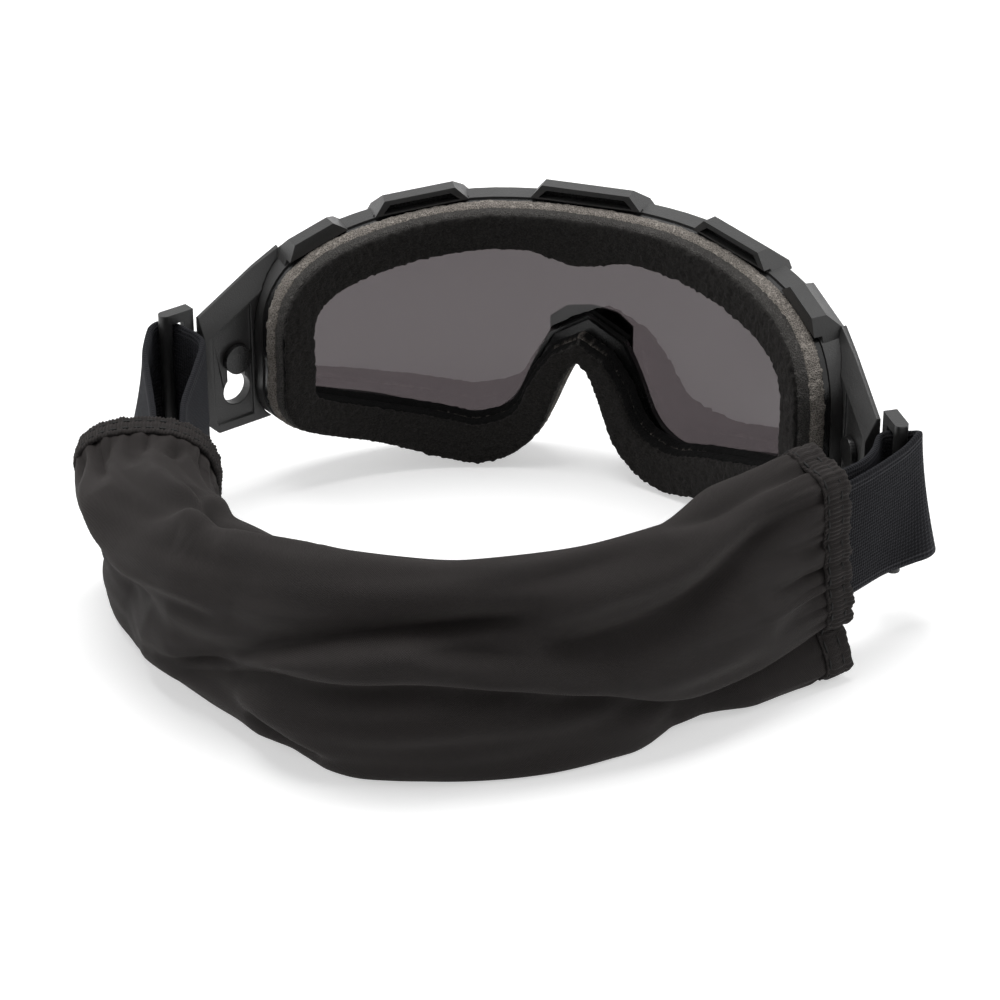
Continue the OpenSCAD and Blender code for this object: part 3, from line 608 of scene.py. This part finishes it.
# Folds of the sleeve: points as shares along it and round it, from its outer middle upwards, then
# height in mm, width above the line and width below it
FOLDS = [
    # crest from the left hem down and along the face, with a dark pocket under it
    ([(0.03, 0.19), (0.09, 0.13), (0.14, 0.085), (0.18, 0.07), (0.23, 0.08), (0.29, 0.085),
      (0.35, 0.07)], 4.6, 10, 2.4),
    ([(0.1, 0.04), (0.15, 0.015), (0.2, 0.012), (0.26, 0.03)], -5.5, 4, 8),
    # crest from the left hem round to the inner side
    ([(0.04, 0.3), (0.12, 0.255), (0.17, 0.245), (0.2, 0.27), (0.19, 0.33), (0.13, 0.42)], 3.6, 4, 5),
    # peak and top edge of the face, with a hollow behind it
    ([(0.19, 0.14), (0.23, 0.19), (0.25, 0.212), (0.275, 0.195), (0.3, 0.2)], 4.2, 3, 6),
    ([(0.27, 0.2), (0.33, 0.222), (0.42, 0.24), (0.56, 0.25)], 2.8, 3, 8),
    ([(0.15, 0.31), (0.21, 0.285), (0.27, 0.258), (0.33, 0.268), (0.4, 0.285)], -6, 7, 4),
    # broad dark valley across the left half, and the crest under it
    ([(0.25, -0.07), (0.33, -0.016), (0.41, 0.054), (0.48, 0.1), (0.57, 0.122),
      (0.66, 0.125)], -7, 4.5, 3.5),
    ([(0.33, -0.04), (0.41, 0.03), (0.47, 0.07), (0.53, 0.085), (0.58, 0.09)], 3.2, 2.6, 7),
    # crease low on the left, the long crease along the lower face, and the crest over it
    ([(0.22, -0.095), (0.28, -0.067), (0.33, -0.042), (0.41, 0.013), (0.48, 0.053)], -4, 1.7, 3.2),
    ([(0.24, -0.12), (0.33, -0.065), (0.41, -0.005), (0.49, 0.012), (0.55, 0.005), (0.69, -0.055),
      (0.78, -0.12), (0.82, -0.135), (0.91, -0.12), (1.0, -0.1)], -4.2, 1.7, 5),
    ([(0.3, -0.06), (0.41, 0.028), (0.49, 0.042), (0.55, 0.035), (0.69, -0.025), (0.78, -0.09),
      (0.86, -0.1), (0.98, -0.07)], 2.4, 9, 3),
    # lifted pocket at the lower edge
    ([(0.36, -0.11), (0.4, -0.13), (0.45, -0.155)], -5, 3, 4),
    ([(0.34, -0.075), (0.41, -0.1), (0.47, -0.128)], 2.4, 6, 3),
    # creases of the right half
    ([(0.51, 0.1), (0.55, 0.078), (0.6, 0.062), (0.64, 0.06)], -5, 6, 2),
    ([(0.59, 0.1), (0.65, 0.07), (0.7, 0.055), (0.76, 0.06), (0.81, 0.08), (0.86, 0.125), (0.92, 0.165),
      (0.98, 0.18)], -5.6, 5.5, 4.5),
    ([(0.64, 0.13), (0.7, 0.153), (0.78, 0.165), (0.87, 0.182), (0.93, 0.207), (1.0, 0.2)], 3.2, 5, 6),
    ([(0.79, 0.235), (0.86, 0.23), (0.93, 0.245), (1.0, 0.235)], -3, 4, 4),
    ([(0.7, -0.02), (0.8, -0.035), (0.88, -0.01), (0.97, 0.02)], 3, 12, 8),
    ([(0.8, 0.27), (0.88, 0.29), (0.95, 0.28), (1.0, 0.26)], 4, 10, 6),
    ([(0.87, 0.11), (0.93, 0.1), (1.0, 0.09)], -1.8, 3, 3),
    ([(0.88, 0.05), (0.94, 0.04), (1.0, 0.045)], -1.8, 3, 3),
    ([(0.9, -0.02), (0.95, -0.015), (1.0, 0)], -1.4, 3, 3),
    # lower lobe beside the right hem
    ([(0.83, -0.175), (0.88, -0.172), (0.94, -0.17), (1.0, -0.165)], 4.5, 6, 6),
    # long pleats from the left hem
    ([(0.012, 0.215), (0.035, 0.2), (0.07, 0.185), (0.11, 0.165)], -4.5, 2.4, 4),
    ([(0.012, 0.28), (0.045, 0.27), (0.1, 0.235)], -2.6, 2.2, 4.5),
    ([(0.012, 0.15), (0.035, 0.14), (0.07, 0.12)], -3, 2.2, 3),
    ([(0.012, 0.35), (0.045, 0.34), (0.08, 0.32)], -3, 2.2, 3),
    # broad shape: flank under the left hem drawn in, lower left and lower middle let out
    ([(0.0, -0.03), (0.08, -0.04), (0.14, -0.05), (0.21, -0.07)], -8, 17, 13),
    ([(0.15, -0.2), (0.24, -0.2), (0.33, -0.2), (0.37, -0.2)], -2, 10, 8),
    ([(0.4, -0.2), (0.5, -0.21), (0.62, -0.2), (0.72, -0.2), (0.8, -0.2)], 3.5, 9, 9),
]

# A fold's line has this many steps between points, and eases in over this share of its length or this
# distance in mm, whichever is shorter
FOLD_STEPS = 4
FOLD_EASE = 0.45
FOLD_TAPER = 20

# Gathers beside the left and the right hem: reach, number of pleats and their height. They are pinched
# to a share of it next to the hem, where the cloth also dips. In mm.
GATHERS = ((9, 31, 0.7), (8, 37, 0.8))
PINCH = 0.3
PINCH_REACH = 5
HEM_DIP = 0.5
HEM_DIP_REACH = 3.5

# Hems: width, thickness, how far they lie over the cloth, how far they stand out from it, points round
# the band's section and round a rib, and the ribs, gathers and stitched grooves on it, in mm
HEM_W = 6
HEM_T = 1.8
HEM_OVER = 3
HEM_GROW = 0.1
HEM_ROUND = 32
RIB_POINTS = 6
RIB_H = 0.2
RIB_GATHER = 0.16
GROOVE_W = 0.7
GROOVE_D = 0.45

# Each hem: number of ribs round it, and rows of stitches in mm from the sleeve's end
HEMS = {
    "left": dict(ribs=150, rows=(-0.8, 3.2)),
    "right": dict(ribs=118, rows=(-1.8, 2.8)),
}

# Stitches: distance apart and radius in mm, half of their length as a share of that distance, how far
# out they lie as a share of the hem's thickness, how blunt their tips are, and their mesh
STITCH_PITCH = 3.4
STITCH_R = 0.36
STITCH_HALF = 0.33
STITCH_SEAT = 0.36
STITCH_TIP = 0.12
STITCH_SIDES = 6
STITCH_CUTS = 7


def tube_frame():
    """Centres of the sleeve's rings, with their directions and the run's length."""
    path, length = evenly(open_curve(SLEEVE_RUN, RUN_STEPS), RINGS)
    ahead, out = headings(path)
    return path, ahead, out, length


def section(ring, count, grow=0.0):
    """One ring's places outwards and up, evenly round it from its outer middle, and its girth."""
    angle = np.radians(np.linspace(0, 360, OUTLINE + 1))
    side, up = np.cos(angle), np.sin(angle)
    power = 2 / TUBE_POWER
    up = np.sign(up) * np.abs(up) ** power
    side = np.sign(side) * np.abs(side) ** power
    half = ring[3] * SLEEVE_H / 2
    x = (ring[2] + grow) * side * (1 - ring[4] * up)
    z = half + (half + grow) * up
    gone = np.r_[0, np.cumsum(np.hypot(np.diff(x), np.diff(z)))]
    at = np.linspace(0, gone[-1], count, endpoint=False)
    return np.interp(at, gone, x), np.interp(at, gone, z), gone[-1]


def tube_points(path, out):
    """Points of the plain sleeve in rings, in mm, and its mean girth."""
    points = np.empty((RINGS, ROUND, 3))
    girths = []
    for i, ring in enumerate(path):
        x, z, girth = section(ring, ROUND)
        points[i, :, :2] = ring[:2] + x[:, None] * out[i]
        points[i, :, 2] = z
        girths.append(girth)
    return points, float(np.mean(girths))


def tube_normals(points, centre):
    """Directions away from the sleeve's middle at each of its points."""
    along = np.gradient(points, axis=0)
    around = np.roll(points, -1, 1) - np.roll(points, 1, 1)
    normal = np.cross(around, along)
    normal = normal / np.linalg.norm(normal, axis=2)[:, :, None]
    return normal if ((points - centre) * normal).sum() > 0 else -normal


def near_line(line, u, v, girth):
    """Each grid place's distance from a line, the side it lies on and its share along the line."""
    nearest = np.full_like(u, np.inf)
    side = np.zeros_like(u)
    share = np.zeros_like(u)
    for k in range(len(line) - 1):
        step = line[k + 1] - line[k]
        du = u - line[k][0]
        dv = (v - line[k][1] + girth / 2) % girth - girth / 2
        t = np.clip((du * step[0] + dv * step[1]) / (step @ step), 0, 1)
        away = np.hypot(du - t * step[0], dv - t * step[1])
        closer = away < nearest
        nearest = np.where(closer, away, nearest)
        side = np.where(closer, step[0] * dv - step[1] * du, side)
        share = np.where(closer, (k + t) / (len(line) - 1), share)
    return nearest, side, share


def fold_heights(length, girth):
    """Height of all folds over the sleeve's grid, in mm. A fold isn't eased at the sleeve's ends."""
    u = np.repeat(np.linspace(0, length, RINGS)[:, None], ROUND, 1)
    v = np.repeat((np.arange(ROUND) / ROUND * girth)[None], RINGS, 0)
    total = np.zeros_like(u)
    for points, height, above, below in FOLDS:
        line = open_curve(points, FOLD_STEPS) * (length, girth)
        nearest, side, share = near_line(line, u, v, girth)
        width = np.where(side > 0, above, below)
        run = np.linalg.norm(np.diff(line, axis=0), axis=1).sum()
        taper = np.minimum(share, 1 - share) * run / min(FOLD_EASE * run, FOLD_TAPER)
        taper = np.clip(taper, 0, 1)
        taper = taper * taper * (3 - 2 * taper)
        taper = np.where((line[0][0] == 0) & (share < 0.5), 1, taper)
        taper = np.where((line[-1][0] == length) & (share > 0.5), 1, taper)
        total += height * taper * np.exp(-(nearest / width) ** 2)
    return total


def gathers(length):
    """Short pleats beside both hems, and the cloth drawn in where it is sewn, in mm."""
    u = np.linspace(0, length, RINGS)[:, None]
    turn = np.arange(ROUND)[None] / ROUND * math.tau
    uneven = np.clip(1 + 0.55 * np.sin(5 * turn + 1.3) + 0.35 * np.sin(11 * turn + 0.4), 0.35, 2)
    total = np.zeros((RINGS, ROUND))
    for from_end, (reach, pleats, height) in zip((u, length - u), GATHERS):
        wave = np.cos(pleats * turn + 1.6 * np.sin(3 * turn)) + 0.5 * np.cos((pleats * 2 - 7) * turn)
        pinch = np.clip(from_end / PINCH_REACH, PINCH, 1)
        total += height * wave * pinch * np.exp(-(from_end / (reach * uneven)) ** 1.3)
        total -= HEM_DIP * np.exp(-(from_end / HEM_DIP_REACH) ** 2)
    return total


def smoothed(field):
    """Each place of the sleeve's grid averaged with its four neighbours."""
    ahead = np.vstack([field[1:], field[-1:]])
    behind = np.vstack([field[:1], field[:-1]])
    return (field * 2 + ahead + behind + np.roll(field, 1, 1) + np.roll(field, -1, 1)) / 6


def ripples():
    """Faint uneven slackness, drawn out along the sleeve, in mm."""
    u = np.linspace(0, 1, RINGS)[:, None]
    turn = np.arange(ROUND)[None] / ROUND * math.tau
    return (0.5 * np.sin(9 * turn + 7 * u + 2 * np.sin(6 * u)) * np.sin(11 * u + 3 * np.sin(turn))
            + 0.35 * np.sin(17 * turn - 13 * u + 1.7) * np.sin(19 * u + 2 * np.cos(2 * turn)))


def make_sleeve():
    material = sleeve_material()
    path, ahead, out, length = tube_frame()
    points, girth = tube_points(path, out)
    centre = np.concatenate([path[:, :2], path[:, 3:4] * SLEEVE_H / 2], 1)[:, None]
    folds = smoothed(fold_heights(length, girth))
    height = folds + gathers(length) + ripples()
    points = points + tube_normals(points, centre) * (height - CLOTH_T / 2)[:, :, None]
    points[:, :, 2] = np.maximum(points[:, :, 2], CLOTH_LOW)
    uv = np.stack(np.meshgrid(np.linspace(0, length, RINGS), np.linspace(0, girth, ROUND + 1),
                              indexing="ij"), 2)
    sleeve = grid_piece("sleeve_cloth", points, uv, material)
    modify(sleeve, "SOLIDIFY", thickness=CLOTH_T * MM, offset=0)
    settle(sleeve)
    declare(sleeve, "frame", "sleeve_fabric", "strap_sleeve")
    trim = []
    for name, end, way in (("left", 0, -1), ("right", -1, 1)):
        trim += make_hem(name, path[end], way * ahead[end], out[end], folds[end], material)


def hem_ring(ring, out, along, grow, folds, count):
    """Points round the hem, shifted along it, grown outwards and folded as the sleeve's end, in mm."""
    x, z, girth = section(ring, count, grow)
    dx = np.roll(x, -1) - np.roll(x, 1)
    dz = np.roll(z, -1) - np.roll(z, 1)
    side = np.stack([dz, -dx], 1) / np.hypot(dx, dz)[:, None]
    lift = np.interp(np.arange(count) / count * ROUND, np.arange(ROUND + 1), np.r_[folds, folds[0]])
    points = np.empty((count, 3))
    points[:, :2] = ring[:2] + along + (x + lift * side[:, 0])[:, None] * out
    points[:, 2] = np.maximum(z + lift * side[:, 1], RING_LOW)
    normal = np.concatenate([side[:, :1] * out, side[:, 1:]], 1)
    return points, normal, girth


def make_hem(name, ring, ahead, out, folds, material):
    """A gathered elastic band round the sleeve's end, with two rows of stitches."""
    ribs = HEMS[name]["ribs"]
    count = ribs * RIB_POINTS
    turn = np.arange(count) / count * math.tau
    rib = RIB_H * np.cos(ribs * turn) + RIB_GATHER * np.cos(ribs / 4 * turn + 2 * np.sin(5 * turn))
    wavy = 0.3 * np.sin(23 * turn) + 0.2 * np.sin(41 * turn)
    rows = []
    for angle in np.radians(np.linspace(0, 360, HEM_ROUND + 1)[:-1]):
        bow, side = math.cos(angle), math.sin(angle)
        run = (HEM_W - HEM_OVER + (HEM_W + HEM_OVER) * math.copysign(abs(bow) ** 0.6, bow)) / 2
        thick = HEM_T / 2 * math.copysign(abs(side) ** 0.7, side)
        points, normal, girth = hem_ring(ring, out, ahead * run, thick + HEM_GROW, folds, count)
        groove = sum(math.exp(-((run - row) / GROOVE_W) ** 2) for row in HEMS[name]["rows"])
        lift = (rib * (1 - 0.5 * groove) - GROOVE_D * groove) * (thick > 0)
        points += normal * lift[:, None]
        points[:, :2] += ahead * wavy[:, None] * (run > HEM_W / 2)
        points[:, 2] = np.maximum(points[:, 2], HEM_LOW)
        rows.append(points)
    grid = np.array(rows + rows[:1])
    gone = np.linspace(0, 2 * (HEM_W + HEM_OVER + HEM_T), len(grid))
    uv = np.stack(np.meshgrid(gone, np.linspace(0, girth, count + 1), indexing="ij"), 2)
    band = grid_piece(name + "_hem_band", grid, uv, material)
    modify(band, "WELD", merge_threshold=0.01 * MM)
    settle(band)
    declare(band, "frame", "sleeve_fabric", name + "_sleeve_hem")
    return [band, make_stitches(name, ring, ahead, out, folds)]


def stitch(centre, axis, side):
    """Points in mm of one thread dash, a small spindle along axis, in rings."""
    up = np.cross(axis / np.linalg.norm(axis), side)
    points = []
    for cut in range(STITCH_CUTS):
        t = cut / (STITCH_CUTS - 1)
        radius = STITCH_R * max(math.sin(math.pi * t), STITCH_TIP) ** 0.5
        for k in range(STITCH_SIDES):
            turn = math.tau * k / STITCH_SIDES
            spoke = math.cos(turn) * side + math.sin(turn) * up
            point = centre + axis * (t - 0.5) + radius * spoke
            point[2] = max(point[2], STITCH_LOW)
            points.append(point)
    return points


def stitch_faces(base):
    """Faces of one dash whose points start at that number."""
    rings = [[base + cut * STITCH_SIDES + k for k in range(STITCH_SIDES)] for cut in range(STITCH_CUTS)]
    faces = []
    for ring, after in zip(rings, rings[1:]):
        for a in range(STITCH_SIDES):
            b = (a + 1) % STITCH_SIDES
            faces.append((ring[a], ring[b], after[b], after[a]))
    return faces + [tuple(rings[0][::-1]), tuple(rings[-1])]


def make_stitches(name, ring, ahead, out, folds):
    """Two rows of short thread dashes that lie on the hem."""
    verts, faces = [], []
    side = np.r_[ahead, 0]
    places = np.arange(OUTLINE)
    for row in HEMS[name]["rows"]:
        line, _, girth = hem_ring(ring, out, ahead * row, HEM_T * STITCH_SEAT, folds, OUTLINE)
        number = int(girth / STITCH_PITCH)
        for k in range(number):
            at = (k + 0.5) / number * OUTLINE
            span = OUTLINE / number * STITCH_HALF
            start, end = [np.array([np.interp(at + way * span, places, line[:, c]) for c in range(3)])
                          for way in (-1, 1)]
            faces += stitch_faces(len(verts))
            verts += [tuple(point * MM) for point in stitch((start + end) / 2, end - start, side)]
    mesh = bpy.data.meshes.new(name + "_hem_stitches")
    mesh.from_pydata(verts, [], faces)
    for face in mesh.polygons:
        face.use_smooth = True
    mesh.materials.append(thread_material())
    piece = bpy.data.objects.new(name + "_hem_stitches", mesh)
    scene.collection.objects.link(piece)
    declare(piece, "frame", "sleeve_fabric")
    return piece


make_camera()
make_floor()
make_world()
make_lights()
make_rigid()
make_padding()
make_straps()
make_sleeve()
